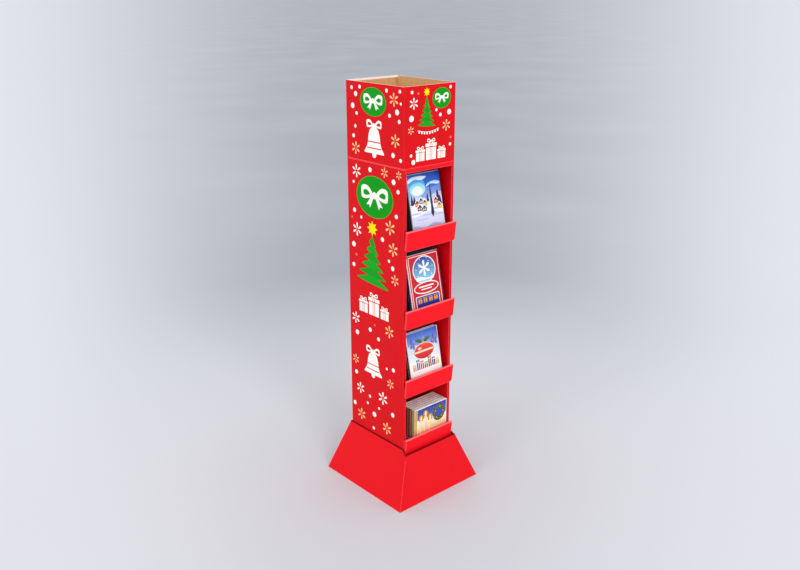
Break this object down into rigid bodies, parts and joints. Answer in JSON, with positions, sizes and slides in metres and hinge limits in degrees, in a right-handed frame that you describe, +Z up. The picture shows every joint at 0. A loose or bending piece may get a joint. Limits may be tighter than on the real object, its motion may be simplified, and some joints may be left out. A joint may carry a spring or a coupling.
{
  "type": "cardboard display stand",
  "caption": "Slim cardboard floor stand: folded tower on a sloping skirt, trays that hold upright disc cases, and an open square header.",
  "frame": {"origin": "on the floor, in the middle of the whole stand's footprint", "axes": "+Z up, -Y towards the side where the trays are open, +X to the right seen from there"},
  "size_m": [0.35, 0.378, 1.32],
  "materials": {
    "printed_board": "satin",
    "kraft_board": "matte",
    "film_case": "gloss",
    "music_case": "gloss"
  },
  "bodies": {
    "root": {"base_box": "kraft_board", "base_skirt": "printed_board", "case_pad_1": "kraft_board", "case_pad_2": "kraft_board", "case_pad_4": "kraft_board", "case_stop_1": "kraft_board", "case_stop_2": "kraft_board", "case_stop_3": "kraft_board", "film_case_1_back": "film_case", "film_case_1_front": "film_case", "film_case_1_middle": "film_case", "film_case_2_back": "film_case", "film_case_2_front": "film_case", "film_case_2_middle": "film_case", "film_case_3_back": "film_case", "film_case_3_front": "film_case", "film_case_3_middle": "film_case", "header_sleeve": "printed_board", "header_tray": "kraft_board", "music_case_1": "music_case", "music_case_2": "music_case", "music_case_3": "music_case", "music_case_4": "music_case", "music_case_5": "music_case", "music_case_6": "music_case", "tower_sleeve": "printed_board", "tray_1": "printed_board", "tray_2": "printed_board", "tray_3": "printed_board", "tray_4": "printed_board"}
  },
  "joints": []
}
